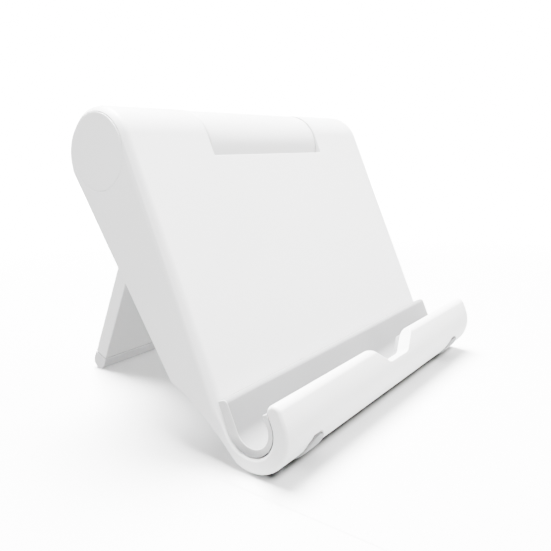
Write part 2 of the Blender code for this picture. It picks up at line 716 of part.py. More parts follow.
def hook_foot_block(name, x, grow, deep, proud, surface):
    """A round-ended pad that wraps the hook. One facet faces straight down when the plate leans."""
    straight_down = -math.pi / 2 + LEAN
    first = straight_down - HOOK_FOOT_STEP * (HOOK_FOOT_FRONT + 0.5)
    count = HOOK_FOOT_FRONT + HOOK_FOOT_BACK + 1
    half = HOOK_FOOT_WIDE / 2
    outer_r = (HOOK_R + proud) / math.cos(HOOK_FOOT_STEP / 2)
    spread = grow / HOOK_R
    bm = bmesh.new()
    rows = []
    for i in range(count + 1):
        angle = first + HOOK_FOOT_STEP * i
        if i in (0, count):
            angle += spread if i else -spread
        from_end = min(i, count - i) * HOOK_FOOT_STEP * HOOK_R
        width = grow + math.sqrt(half ** 2 - max(half - from_end - 0.35 * MM, 0.0) ** 2)
        way = (math.cos(angle), math.sin(angle))
        corners = [(-width, outer_r), (width, outer_r), (width, HOOK_R - deep), (-width, HOOK_R - deep)]
        rows.append([
            bm.verts.new((x + a, HOOK_CENTRE[0] + r * way[0], HOOK_CENTRE[1] + r * way[1])) for a, r in corners
        ])
    for one, other in zip(rows, rows[1:]):
        for i in range(4):
            bm.faces.new((one[i - 1], one[i], other[i], other[i - 1]))
    bm.faces.new(rows[0])
    bm.faces.new(rows[-1])
    return mesh_object(name, bm, surface, 40 if surface else None)


def hook_feet():
    for side, x in hook_foot_places():
        name = side + "_hook_foot"
        yield hook_foot_block(name, x, 0.0, HOOK_FOOT_DEEP, HOOK_FOOT_PROUD, grey_rubber())


# ---------------------------------------------------------------- placing


def hinge_height():
    """The axis's height above the table, from the pads under the hook."""
    above_hook = (AXIS[1] - HOOK_CENTRE[1]) * math.cos(LEAN) - (AXIS[0] - HOOK_CENTRE[0]) * math.sin(LEAN)
    return HOOK_R + HOOK_FOOT_PROUD + above_hook


def leg_angle():
    """How far the leg swings back from straight down to reach the table."""
    depth, along = foot_centre()
    reach = math.hypot(depth, along)
    to_facet = FOOT_THICK / 2 * math.cos(math.pi / FOOT_FACETS / 2)
    return math.acos((hinge_height() - to_facet) / reach) - math.atan2(depth, along)


def empty(name, location, turn):
    made = bpy.data.objects.new(name, None)
    made.location = location
    made.rotation_euler = (turn, 0.0, 0.0)
    bpy.context.scene.collection.objects.link(made)
    return made


def build():
    for old in list(bpy.data.objects):
        bpy.data.objects.remove(old)
    fixed = [front_shell(), back_cover(), channel_liner(), hinge_bolt(), lock_nut()]
    for group in (cover_screws, end_caps, washers, friction_discs, hook_feet):
        fixed += list(group())
    moving = [leg(), leg_foot()]
    for bush in bushes():
        bush.data.transform(Matrix.Translation((0.0, -AXIS[0], -AXIS[1])))
        moving.append(bush)

    height = hinge_height()
    back = AXIS[0] * math.cos(LEAN) + AXIS[1] * math.sin(LEAN)
    depth, along = foot_centre()
    open_angle = leg_angle()
    foot_back = back + along * math.sin(open_angle) + depth * math.cos(open_angle)
    front = HOOK_CENTRE[0] * math.cos(LEAN) + HOOK_CENTRE[1] * math.sin(LEAN) - HOOK_R
    centre = (front + foot_back + FOOT_THICK / 2) / 2
    drop = AXIS[1] * math.cos(LEAN) - AXIS[0] * math.sin(LEAN)
    plate_frame = empty("plate_frame", (-CENTRE, -centre, height - drop), -LEAN)
    leg_axis = empty("leg_axis", (-CENTRE, back - centre, height), open_angle)
    attach(fixed, plate_frame)
    attach(moving, leg_axis)


def attach(pieces, frame):
    """Parents pieces, and the helpers that cut or join them, to an empty."""
    for piece in pieces:
        piece.parent = frame
        for change in piece.modifiers:
            if change.type == "BOOLEAN":
                change.object.parent = frame


build()
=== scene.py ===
# %% [markdown]
# # A folding tablet stand
#
# The stand is a moulded plate that ends in a J hook, a grey strip in the hook, and a leg that turns in
# the barrel along the plate's top edge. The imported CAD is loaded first, as a frame that nothing here
# moves. Its box is kept, so that the finished pieces can be compared with it at the end.

# %% Load the frame
import json
import math

import bmesh
import bpy
import numpy as np
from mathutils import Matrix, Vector


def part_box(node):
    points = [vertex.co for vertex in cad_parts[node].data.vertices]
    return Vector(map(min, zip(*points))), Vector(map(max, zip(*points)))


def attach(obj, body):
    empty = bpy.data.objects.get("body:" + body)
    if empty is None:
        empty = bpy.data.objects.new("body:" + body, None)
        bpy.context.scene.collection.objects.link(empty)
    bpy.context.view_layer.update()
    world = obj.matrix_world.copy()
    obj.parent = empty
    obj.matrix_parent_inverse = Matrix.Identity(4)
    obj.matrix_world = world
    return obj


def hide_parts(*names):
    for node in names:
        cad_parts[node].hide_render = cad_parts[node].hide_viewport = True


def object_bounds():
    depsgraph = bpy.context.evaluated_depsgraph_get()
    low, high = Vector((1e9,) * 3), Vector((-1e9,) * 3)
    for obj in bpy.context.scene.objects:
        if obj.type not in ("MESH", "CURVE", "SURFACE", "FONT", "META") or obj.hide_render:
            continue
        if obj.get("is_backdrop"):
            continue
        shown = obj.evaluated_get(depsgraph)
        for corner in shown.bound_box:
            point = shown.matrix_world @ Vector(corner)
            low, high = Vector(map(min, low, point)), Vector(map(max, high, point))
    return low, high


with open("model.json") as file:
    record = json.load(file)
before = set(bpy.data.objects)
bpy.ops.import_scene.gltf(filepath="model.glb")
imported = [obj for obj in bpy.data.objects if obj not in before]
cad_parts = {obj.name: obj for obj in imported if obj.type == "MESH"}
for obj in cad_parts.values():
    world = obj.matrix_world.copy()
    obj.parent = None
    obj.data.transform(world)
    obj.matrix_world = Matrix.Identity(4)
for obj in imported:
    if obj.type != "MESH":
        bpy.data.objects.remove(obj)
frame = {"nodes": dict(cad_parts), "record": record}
nodes = frame["nodes"]
cad_low, cad_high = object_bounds()

# %% [markdown]
# ## The camera
#
# A long thin object seen from close by shows strong perspective, so the lens and the place both matter.
# The camera stands in front of the stand's left end, about level with the barrel, and looks slightly
# down.

# %% Camera
MM = 0.001
FOCAL_PER_WIDTH = 1.0938  # focal length over the picture's width
CAMERA_AT = Vector((-153.86, -115.55, 74.59)) * MM
YAW, DOWN = math.radians(53.76), math.radians(12.57)

camera_data = bpy.data.cameras.new("camera")
camera_data.sensor_width = 36.0
camera_data.lens = FOCAL_PER_WIDTH * camera_data.sensor_width
camera_data.clip_start, camera_data.clip_end = 0.01, 10.0
camera = bpy.data.objects.new("camera", camera_data)
look = Vector((math.sin(YAW) * math.cos(DOWN), math.cos(YAW) * math.cos(DOWN), -math.sin(DOWN)))
camera.location = CAMERA_AT
camera.rotation_euler = look.to_track_quat("-Z", "Y").to_euler()
bpy.context.scene.collection.objects.link(camera)
bpy.context.scene.camera = camera
print("lens: %.1f mm" % camera_data.lens)

# %% [markdown]
# ## The plate's own axes
#
# The plate leans back. A piece that sits on it is easiest to describe in plain axes that lean with it:
# across the width, depth behind the plate's front, and up along the plate. The result is turned into
# world places at the end. The axes are tied to the hinge axis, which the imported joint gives, so the
# pieces stay on the CAD.

# %% Plate axes
HINGE = np.array(frame["record"]["behaviour"]["joints"][0]["pos_m"])
LEAN = math.radians(24.3)
AXIS_DEPTH, AXIS_UP = 11.25 * MM, 85.7 * MM  # the axis, from the plate's front and from the hook's bottom
HALF_WIDTH = (cad_high[0] - cad_low[0]) / 2


def plate_place(across, depth, up):
    """World points from plate axes: the plate turned about the hinge by its lean."""
    d, u = depth - AXIS_DEPTH, up - AXIS_UP
    y = HINGE[1] + d * math.cos(LEAN) + u * math.sin(LEAN)
    z = HINGE[2] + u * math.cos(LEAN) - d * math.sin(LEAN)
    return np.stack(np.broadcast_arrays(across, y, z), axis=-1)


print("hinge axis at", HINGE.round(5))

# %% [markdown]
# ## From mesh to finished piece
#
# Whatever makes a mesh, the last steps are the same. Doubled corners are merged and the faces turned
# outwards. Faces are then shaded smoothly, except across real edges, since a moulding has both. Last,
# the piece takes the place of its CAD node, with that node's body, so that the leg's pieces turn with
# the leg.

# %% Finishing helpers
def finished(name, mesh, smooth_to=35):
    """Points the faces outwards and shades them smoothly, except across edges over smooth_to degrees."""
    bm = bmesh.new()
    bm.from_mesh(mesh)
    bmesh.ops.remove_doubles(bm, verts=bm.verts, dist=1e-7)
    bmesh.ops.recalc_face_normals(bm, faces=bm.faces)
    bm.to_mesh(mesh)
    bm.free()
    mesh.shade_smooth()
    mesh.set_sharp_from_angle(angle=math.radians(smooth_to))
    made = bpy.data.objects.new(name, mesh)
    bpy.context.scene.collection.objects.link(made)
    print("%s: %d faces" % (name, len(mesh.polygons)))
    return made


def stand_for(piece, node, body, surface):
    """Puts a finished piece in a CAD node's place, with its body and surface."""
    piece.data.materials.clear()
    piece.data.materials.append(surface)
    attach(piece, body)
    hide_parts(node)

# %% [markdown]
# ## Meshes from rings
#
# The strip, the caps and the pads are each a closed section carried along a path, so one helper is
# enough: it takes an array of rings and joins each to the next. The two ends are closed with one face
# each, unless the path comes back to its start.

# %% Ring helper
def ring_mesh(name, rings, joined_ends=False):
    """A closed surface from rings (count, points, 3). With joined_ends the last ring meets the first."""
    count, points = rings.shape[:2]
    index = np.arange(count * points).reshape(count, points)
    if joined_ends:
        index = np.vstack([index, index[:1]])
    index = np.hstack([index, index[:, :1]])
    quads = np.stack([index[:-1, :-1], index[:-1, 1:], index[1:, 1:], index[1:, :-1]], axis=-1)
    faces = quads.reshape(-1, 4).tolist()
    if not joined_ends:
        faces += [index[0, :-1].tolist(), index[-1, :-1].tolist()]
    mesh = bpy.data.meshes.new(name)
    mesh.from_pydata(rings.reshape(-1, 3).tolist(), [], faces)
    return finished(name, mesh)

# %% [markdown]
# ## Materials in layers
#
# Every surface here is procedural: noise on Object coordinates drives its colour, its roughness and its
# bump, so the marks stay on the piece when it turns. A few helpers keep each material down to a short
# list of its layers. Values that are the same all over sit on the shader's own sockets.

# %% A material and its noise
def new_material(name, color, roughness):
    """A material whose even values sit on the shader's own sockets. Returns it with its tree and shader."""
    made = bpy.data.materials.new(name)
    made.use_nodes = True
    shader = made.node_tree.nodes["Principled BSDF"]
    shader.inputs["Base Color"].default_value = (*color, 1.0)
    shader.inputs["Roughness"].default_value = roughness
    return made, made.node_tree, shader


def noise(tree, scale, detail=3.0, stretch=(1.0, 1.0, 1.0), turn=(0.0, 0.0, 0.0)):
    """Noise on Object coordinates, its cells stretched by a Mapping node. Scale is cells per metre."""
    place = tree.nodes.new("ShaderNodeTexCoord")
    mapping = tree.nodes.new("ShaderNodeMapping")
    mapping.inputs["Scale"].default_value = stretch
    mapping.inputs["Rotation"].default_value = turn
    texture = tree.nodes.new("ShaderNodeTexNoise")
    texture.inputs["Scale"].default_value = scale
    texture.inputs["Detail"].default_value = detail
    tree.links.new(place.outputs["Object"], mapping.inputs["Vector"])
    tree.links.new(mapping.outputs["Vector"], texture.inputs["Vector"])
    return texture.outputs["Fac"]


# %% Ramps, mixes and bumps
def ramp(tree, value, stops):
    """A Color Ramp from (position, colour) stops. A single number is a grey."""
    node = tree.nodes.new("ShaderNodeValToRGB")
    while len(node.color_ramp.elements) < len(stops):
        node.color_ramp.elements.new(0.5)
    for element, (position, color) in zip(node.color_ramp.elements, stops):
        element.position = position
        element.color = (*color, 1.0) if isinstance(color, tuple) else (color, color, color, 1.0)
    tree.links.new(value, node.inputs["Fac"])
    return node.outputs["Color"]


def mixed(tree, amount, first, second, blend="MIX"):
    """A Mix node for colours. amount is a number or a socket."""
    node = tree.nodes.new("ShaderNodeMix")
    node.data_type = "RGBA"
    node.blend_type = blend
    if isinstance(amount, float):
        node.inputs["Factor"].default_value = amount
    else:
        tree.links.new(amount, node.inputs["Factor"])
    tree.links.new(first, node.inputs["A"])
    tree.links.new(second, node.inputs["B"])
    return node.outputs["Result"]


def bump(tree, height, depth, strength, below=None):
    """A Bump node of a real depth in metres, which may stand on another bump."""
    node = tree.nodes.new("ShaderNodeBump")
    node.inputs["Distance"].default_value = depth
    node.inputs["Strength"].default_value = strength
    tree.links.new(height, node.inputs["Height"])
    if below is not None:
        tree.links.new(below, node.inputs["Normal"])
    return node.outputs["Normal"]

# %% [markdown]
# ## Masks
#
# Some marks sit in one place on a piece: painted light on the strip's cut ends, painted shade in the crease
# under the hook. A mask is 1 there and 0 elsewhere. It could be painted as a picture, but a mask worked out
# from the Object coordinates needs no picture and stays exact. It takes three small helpers: the
# coordinates one by one, a sum on them, and a step from one value to another.

# %% Mask helpers
def object_axes(tree):
    """The Object coordinates as three sockets: X, Y and Z."""
    place = tree.nodes.new("ShaderNodeTexCoord")
    split = tree.nodes.new("ShaderNodeSeparateXYZ")
    tree.links.new(place.outputs["Object"], split.inputs["Vector"])
    return split.outputs


def worked_out(tree, operation, first, second=None):
    """A Math node on a socket, or on a socket and a second socket or number."""
    node = tree.nodes.new("ShaderNodeMath")
    node.operation = operation
    tree.links.new(first, node.inputs[0])
    if isinstance(second, float):
        node.inputs[1].default_value = second
    elif second is not None:
        tree.links.new(second, node.inputs[1])
    return node.outputs[0]


def step(tree, value, low, high, at_low=0.0, at_high=1.0, kind="SMOOTHSTEP"):
    """A Map Range node: at_low up to low, at_high from high on, and a slope between them."""
    node = tree.nodes.new("ShaderNodeMapRange")
    node.interpolation_type = kind
    for socket, number in (("From Min", low), ("From Max", high), ("To Min", at_low), ("To Max", at_high)):
        node.inputs[socket].default_value = number
    tree.links.new(value, node.inputs["Value"])
    return node.outputs["Result"]

# %% [markdown]
# ## Moulded white plastic
#
# The stand is moulded in a plain white plastic, in a mould etched dull rather than polished. One white
# with one roughness would do for a thumbnail, but it reads as paper. So there is a very fine grain that
# is hardly seen from arm's length, a faint flow where the plastic filled the mould, and duller patches
# from handling. The colour drifts by two or three parts in a hundred. The flow is turned to lie along
# the plate, and along the leg.

# %% White plastic
LEG_OPEN = math.radians(24.21)  # the leg leans the other way


def white_plastic(name, tone, flow_turn=0.0):
    """White plastic with faint flow marks, a pebbled skin, a fine grain, and patches dulled by handling."""
    made, tree, shader = new_material(name, (tone, tone, tone), 0.42)
    flow = noise(tree, 30.0, 2.0, stretch=(0.35, 1.0, 1.0), turn=(flow_turn, 0.0, 0.0))
    handling = noise(tree, 55.0, 4.0)
    pebble = noise(tree, 1500.0, 3.0)
    grain = noise(tree, 5200.0, 2.0)
    low = (tone * 0.985, tone * 0.985, tone * 0.98)
    high = (tone * 1.008, tone * 1.008, tone * 1.012)
    color = ramp(tree, flow, [(0.32, low), (0.68, high)])
    speck = ramp(tree, grain, [(0.25, 0.97), (0.6, 1.0)])
    tree.links.new(mixed(tree, 1.0, color, speck, "MULTIPLY"), shader.inputs["Base Color"])
    dull = ramp(tree, handling, [(0.35, 0.36), (0.6, 0.44), (0.75, 0.54)])
    tree.links.new(dull, shader.inputs["Roughness"])
    soft = bump(tree, flow, depth=0.04 * MM, strength=0.15)
    rough = bump(tree, pebble, depth=0.01 * MM, strength=0.5, below=soft)
    fine = bump(tree, grain, depth=0.004 * MM, strength=0.6, below=rough)
    tree.links.new(fine, shader.inputs["Normal"])
    shader.inputs["IOR"].default_value = 1.52
    shader.inputs["Specular IOR Level"].default_value = 0.45
    shader.inputs["Subsurface Weight"].default_value = 0.08
    shader.inputs["Subsurface Scale"].default_value = 1.2 * MM
    shader.inputs["Subsurface Radius"].default_value = (1.0, 0.9, 0.8)
    return made


shell_white = white_plastic("shell_white", 0.86, LEAN)
cover_white = white_plastic("cover_white", 0.85, LEAN)
leg_white = white_plastic("leg_white", 0.85, -LEG_OPEN)
cap_white = white_plastic("cap_white", 0.87)
print("white plastic on the shell, cover, leg and caps")

# %% [markdown]
# ## Silicone and rubber
#
# The strip in the channel is a matt grey silicone, which takes a faint bloom and holds dust. So its bloom
# is a second, lighter tone over large patches, and the dust is sparse fine specks. Its cut ends carry
# painted light: above the hook's bottom, where light falls on them, they are made pale. The pads and the
# leg's sleeve are a harder rubber with a coarser skin. The stage is bright, so these greys are set a step
# darker than the real rubber is.

# %% Painted light on the cut ends
def painted_end_light(tree, from_middle):
    """A mask of the strip's two cut ends above the hook's bottom, where light is painted on."""
    axes = object_axes(tree)
    out = worked_out(tree, "ABSOLUTE", axes["X"])
    outermost = step(tree, out, from_middle - 0.1 * MM, from_middle, kind="LINEAR")
    above = step(tree, axes["Z"], 5.2 * MM, 8.5 * MM, kind="LINEAR")
    return worked_out(tree, "MULTIPLY", outermost, above)


# %% Silicone and rubber
def grey_soft(name, tone, bloom, skin_scale, skin_depth, roughness, painted_light_ends=None):
    """A matt elastomer: patchy bloom, a pebbled skin, sparse dust, and painted light on the cut ends if
    asked for.
    """
    made, tree, shader = new_material(name, (tone, tone, tone), roughness)
    patches = noise(tree, 90.0, 3.0)
    skin = noise(tree, skin_scale, 3.0)
    dust = noise(tree, 2600.0, 1.0)
    base = ramp(tree, patches, [(0.35, (tone, tone, tone * 1.01)), (0.7, (bloom, bloom, bloom * 1.01))])
    specks = ramp(tree, dust, [(0.0, 0.0), (0.74, 0.0), (0.8, min(1.0, tone * 1.5))])
    dust_and_painted_light = mixed(tree, 0.35, base, specks, "LIGHTEN")
    if painted_light_ends:
        # Painted light: the cut ends above the hook's bottom are made pale, where light falls on them.
        end_light_tone = ramp(tree, patches, [(0.3, 0.52), (0.7, 0.6)])
        dust_and_painted_light = mixed(tree, painted_end_light(tree, painted_light_ends), dust_and_painted_light, end_light_tone)
    tree.links.new(dust_and_painted_light, shader.inputs["Base Color"])
    spread = ramp(tree, patches, [(0.3, roughness - 0.08), (0.7, roughness + 0.08)])
    tree.links.new(spread, shader.inputs["Roughness"])
    tree.links.new(bump(tree, skin, skin_depth, strength=0.5), shader.inputs["Normal"])
    shader.inputs["Specular IOR Level"].default_value = 0.3
    shader.inputs["Sheen Weight"].default_value = 0.12
    shader.inputs["Sheen Roughness"].default_value = 0.5
    return made


liner_ends = HALF_WIDTH - 0.55 * MM
liner_grey = grey_soft("liner_grey_silicone", 0.235, 0.255, 1600.0, 0.012 * MM, 0.72, liner_ends)
foot_grey = grey_soft("foot_grey_rubber", 0.12, 0.14, 900.0, 0.03 * MM, 0.8)
sleeve_grey = grey_soft("sleeve_grey_rubber", 0.58, 0.63, 900.0, 0.03 * MM, 0.8)
print("silicone on the strip, rubber on the pads and the leg's sleeve")

# %% [markdown]
# ## Steel and nylon
#
# Inside the barrel a bolt, a nut, washers and disc springs press on two nylon discs and two bushes, and
# four screws hold the back cover. A turned part could be one even metal, but in the light it would look
# like plastic. So it carries fine rings round its axis, from noise squeezed along it, and a thin film
# of grease. Nylon is cloudy and a little see-through, which a touch of subsurface scattering gives.

# %% Steel and nylon
def turned_steel(name, tone):
    """Turned steel: fine rings round the axis, from noise squeezed along X, and a thin film of grease."""
    made, tree, shader = new_material(name, (tone, tone, tone * 1.02), 0.3)
    shader.inputs["Metallic"].default_value = 1.0
    rings = noise(tree, 120.0, 4.0, stretch=(60.0, 1.0, 1.0))
    film = noise(tree, 400.0, 3.0)
    low, high = tone * 0.88, tone * 1.08
    color = ramp(tree, film, [(0.35, (low, low, low * 1.02)), (0.65, (high, high, high * 1.02))])
    tree.links.new(color, shader.inputs["Base Color"])
    tree.links.new(ramp(tree, rings, [(0.3, 0.24), (0.7, 0.42)]), shader.inputs["Roughness"])
    tree.links.new(bump(tree, rings, depth=0.008 * MM, strength=0.6), shader.inputs["Normal"])
    return made


def pale_nylon(name):
    """Natural nylon: cloudy cream, with faint turning marks round the axis."""
    made, tree, shader = new_material(name, (0.8, 0.78, 0.72), 0.5)
    cloud = noise(tree, 300.0, 3.0)
    marks = noise(tree, 150.0, 3.0, stretch=(40.0, 1.0, 1.0))
    cream = ramp(tree, cloud, [(0.3, (0.77, 0.75, 0.69)), (0.7, (0.82, 0.8, 0.74))])
    tree.links.new(cream, shader.inputs["Base Color"])
    tree.links.new(ramp(tree, marks, [(0.3, 0.42), (0.7, 0.58)]), shader.inputs["Roughness"])
    tree.links.new(bump(tree, marks, depth=0.01 * MM, strength=0.5), shader.inputs["Normal"])
    shader.inputs["Subsurface Weight"].default_value = 0.1
    shader.inputs["Subsurface Scale"].default_value = 1.0 * MM
    return made


# %% [markdown]
# ## Dressing the hidden pieces
#
# The hinge's pieces and the screws are small and mostly out of sight, and their CAD shapes are right as
# they are. So nothing is copied or replaced: each has its plain material taken off and the better one
# put on.

# %% Hinge pieces and screws
def dress(names, surface):
    """Gives CAD nodes whose shape stays a better surface."""
    for name in names:
        nodes[name].data.materials.clear()
        nodes[name].data.materials.append(surface)


bolt_and_springs = ["hinge_bolt", "lock_nut", "bolt_washer", "nut_washer"]
bolt_and_springs += ["disc_spring_inner", "disc_spring_outer"]
dress(bolt_and_springs, turned_steel("hinge_steel", 0.6))
dress([name for name in nodes if name.startswith("cover_screw")], turned_steel("screw_steel", 0.52))
dress(["left_bush", "right_bush", "left_friction_disc", "right_friction_disc"], pale_nylon("bush_nylon"))
print("steel and nylon on the hinge and the screws")

# %% [markdown]
# ## The moulded pieces
#
# The plate with its hook, the back cover and the leg are the right shape already, but a CAD mesh is
# loose triangles with knife edges, and no moulding has those. Each is copied, its corners merged and
# its flat faces made whole again. A narrow Bevel then gives every sharp edge a small radius that
# catches the light. Weighted normals keep the big faces flat in the light, where plain smooth shading
# would bend them towards their rounded edges.

# %% Which edges are sharp
MERGE_WITHIN = 2e-6  # metres between corners that are one corner
FLAT_WITHIN = math.radians(0.4)  # faces that turn less than this are one flat face
SHARP_OVER = 40  # degrees between faces, from which an edge is a sharp one


def near_hook_pad(point):
    """True beside the pads under the hook, whose pockets keep their crisp edge."""
    for node in ("left_hook_foot", "right_hook_foot"):
        low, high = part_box(node)
        if all(low[i] - MM < point[i] < high[i] + MM for i in range(3)):
            return True
    return False


# %% Softened copies
PLATE_ROUND, LEG_ROUND = 0.15 * MM, 0.3 * MM


def softened_copy(name, node, radius, surface, body="stand"):
    """A merged copy of a CAD node, with a Bevel of this radius along its sharp edges."""
    bm = bmesh.new()
    bm.from_mesh(nodes[node].data)
    bmesh.ops.remove_doubles(bm, verts=bm.verts, dist=MERGE_WITHIN)
    bmesh.ops.dissolve_limit(bm, angle_limit=FLAT_WITHIN, verts=bm.verts, edges=bm.edges)
    weight = bm.edges.layers.float.new("bevel_weight_edge")
    for edge in bm.edges:
        middle = (edge.verts[0].co + edge.verts[1].co) / 2
        if edge.calc_face_angle(0.0) > math.radians(SHARP_OVER) and not near_hook_pad(middle):
            edge[weight] = 1.0
    mesh = bpy.data.meshes.new(name)
    bm.to_mesh(mesh)
    bm.free()
    piece = finished(name, mesh, SHARP_OVER)
    bevel = piece.modifiers.new("soft_edges", "BEVEL")
    bevel.width = radius
    bevel.segments = 2
    bevel.limit_method = "WEIGHT"
    bevel.use_clamp_overlap = False
    bevel.harden_normals = True
    bevel.miter_outer = "MITER_ARC"
    flat = piece.modifiers.new("flat_faces", "WEIGHTED_NORMAL")
    flat.keep_sharp = True
    flat.weight = 100
    stand_for(piece, node, body, surface)


softened_copy("plate_and_hook", "front_shell", PLATE_ROUND, shell_white)
softened_copy("rear_cover", "back_cover", PLATE_ROUND, cover_white)
softened_copy("leg_moulding", "leg", LEG_ROUND, leg_white, "folding_leg")
softened_copy("leg_sleeve", "leg_foot", LEG_ROUND, sleeve_grey, "folding_leg")

# %% [markdown]
# ## The strip in the channel
#
# The strip is one extrusion: a J in section, thick where the device leans, thin behind the lip. Its lip
# side is cut down where the charging notch is, so the section changes with the place across the width.
# That makes it a surface of two parameters: where along the width, and how far round the section. The
# notch comes first, as a height for every place across the width.

# %% Height of the notch
NOTCH_FLOOR, NOTCH_TOP = 8.9 * MM, 12.0 * MM  # the flat floor, and the middle of the outer rounds
NOTCH_HALF, NOTCH_FLARE, NOTCH_ROUND = 6.5 * MM, 5.2 * MM, 3.0 * MM
FLARE_TURN = math.radians(35)  # how far each round turns before the straight flare


def notch_height(across):
    """Height of the notch's edge: flat floor, a round, a straight flare, a round out to the lip's top.

    On a round, the height is its middle's, less or plus the root of radius squared minus distance squared.
    """
    x = np.abs(across)
    low_x, low_u = NOTCH_HALF - NOTCH_ROUND / 2, NOTCH_FLOOR + NOTCH_ROUND
    high_x, high_u = NOTCH_HALF + NOTCH_FLARE + 0.8 * NOTCH_ROUND, NOTCH_TOP
    reach_x, reach_u = NOTCH_ROUND * math.cos(FLARE_TURN), NOTCH_ROUND * math.sin(FLARE_TURN)
    start, end = low_x + reach_x, high_x - reach_x
    inner = low_u - np.sqrt(np.clip(NOTCH_ROUND**2 - np.clip(x - low_x, 0, None) ** 2, 0, None))
    outer = high_u + np.sqrt(np.clip(NOTCH_ROUND**2 - np.clip(high_x - x, 0, None) ** 2, 0, None))
    slope = (low_u - reach_u) + (x - start) / (end - start) * (high_u + reach_u - low_u + reach_u)
    return np.where(x < start, inner, np.where(x < end, slope, outer))


print("notch floor %.1f mm up, %.1f mm at 9 mm out" % tuple(notch_height(np.array([0, 9 * MM])) / MM))

# %% [markdown]
# ## Round the J
#
# The section is drawn in the plate's axes, as depth and height. Going round it are the flat back, the
# big round that fits the channel, the lip's outside, a rounded rim, the lip's inside, the trough, and
# the thick pad with its crown. The two lip sides have to end at the notch's height, so they are
# followed by length: a share of the way up an arc and then straight up. Every section then has the same
# number of points, which a grid needs.

# %% Arcs and climbs
def arc_points(middle, radius, first, last, count):
    """Points on a circle between two angles in degrees."""
    angle = np.radians(np.linspace(first, last, count))
    return np.stack([middle[0] + radius * np.cos(angle), middle[1] + radius * np.sin(angle)], axis=-1)


def climb(middle, radius, top, share):
    """A quarter circle from its lowest point, then straight up, to a height. share runs from 0 to 1.

    The way gone is share times the whole length; over the radius it is the angle, and the rest is the rise.
    """
    bend = np.arccos(np.clip((middle[1] - top) / radius, 0, 1))
    length = radius * bend + np.clip(top - middle[1], 0, None)
    gone = share[None, :] * length[:, None]
    angle = np.clip(gone / radius, 0, math.pi / 2)
    rise = np.clip(gone - radius * math.pi / 2, 0, None)
    depth = middle[0] - radius * np.sin(angle)
    return np.stack([depth, middle[1] - radius * np.cos(angle) + rise], axis=-1)

# %% The strip's section
CHANNEL_MIDDLE, CHANNEL_FIT = np.array([-6.9, 10.7]) * MM, 6.6 * MM  # the strip's outside fits the channel
TROUGH_MIDDLE, TROUGH_R = np.array([-7.7, 10.5]) * MM, 4.6 * MM  # its inside
PAD_FACE, PAD_TOP, PAD_ROUND = -3.1 * MM, 18.5 * MM, 1.1 * MM
STRIP_LIP_TOP, STRIP_BACK = 13.3 * MM, -0.3 * MM
CORNER, RIM_RISE = 0.3 * MM, 0.25 * MM  # the back's top corner, and how high the lip's rim bulges
APART = 0.3 * MM  # a straight stops this far above the round that it meets
ALONG_FLAT, ALONG_ROUND, ALONG_LIP = 9, 18, 26  # points on each straight, each big round, each lip side


def strip_sections(across):
    """One closed section (depth, up) for each place: down the back, round, up the lip, and back inside."""
    top = np.minimum(STRIP_LIP_TOP, notch_height(across)) - RIM_RISE
    share = np.linspace(0.0, 1.0, ALONG_LIP)
    outside = climb(CHANNEL_MIDDLE, CHANNEL_FIT, top, share)
    inside = climb(TROUGH_MIDDLE, TROUGH_R, top, share)[:, ::-1]
    turn = np.linspace(0, math.pi, 9)[1:-1]
    middle = (outside[:, -1, 0] + inside[:, 0, 0]) / 2
    half = (inside[:, 0, 0] - outside[:, -1, 0]) / 2
    over = np.sign(np.cos(turn)) * np.abs(np.cos(turn)) ** 0.5
    rim_depth = middle[:, None] - half[:, None] * over
    rim = np.stack([rim_depth, top[:, None] + RIM_RISE * np.sin(turn) ** 0.5], -1)

    back_ups = np.linspace(PAD_TOP - CORNER, CHANNEL_MIDDLE[1] + APART, ALONG_FLAT)
    back = np.stack([np.full(ALONG_FLAT, STRIP_BACK), back_ups], -1)
    round_back = arc_points(CHANNEL_MIDDLE, CHANNEL_FIT, 0, -88, ALONG_ROUND)
    round_in = arc_points(TROUGH_MIDDLE, TROUGH_R, -88, 0, ALONG_ROUND)
    pad_ups = np.linspace(TROUGH_MIDDLE[1] + APART, PAD_TOP - PAD_ROUND, ALONG_FLAT)
    pad = np.stack([np.full(ALONG_FLAT, PAD_FACE), pad_ups], -1)
    crown = arc_points((PAD_FACE + PAD_ROUND, PAD_TOP - PAD_ROUND), PAD_ROUND, 172, 90, 10)
    corner = arc_points((STRIP_BACK - CORNER, PAD_TOP - CORNER), CORNER, 80, 10, 4)
    even = (back, round_back, round_in, pad, crown, corner)
    same = [np.repeat(part[None], len(across), axis=0) for part in even]
    return np.concatenate(same[:2] + [outside, rim, inside] + same[2:], axis=1)


print("points round the strip:", strip_sections(np.zeros(1)).shape[1])

# %% [markdown]
# ## Along the strip
#
# The section is worked out at many places along the width, most closely where the notch is. The trimmed
# ends are not knife edges: over the last fraction of a millimetre each section is moved inwards along
# its own normals, by one minus the cosine of a quarter turn, which rounds them. The strip then takes
# its CAD node's place.

# %% The strip
def drawn_in(sections, amount):
    """Each section moved inwards along its own normals by its own amount, which rounds the ends."""
    along = np.roll(sections, -1, axis=1) - np.roll(sections, 1, axis=1)
    length = np.linalg.norm(along, axis=-1, keepdims=True) + 1e-12
    inward = np.stack([along[..., 1], -along[..., 0]], axis=-1) / length
    turn = (sections[..., 0] * np.roll(sections[..., 1], -1, axis=1)).sum(axis=1)
    turn -= (np.roll(sections[..., 0], -1, axis=1) * sections[..., 1]).sum(axis=1)
    inward = inward * -np.sign(turn)[:, None, None]
    return sections + inward * amount[:, None, None]


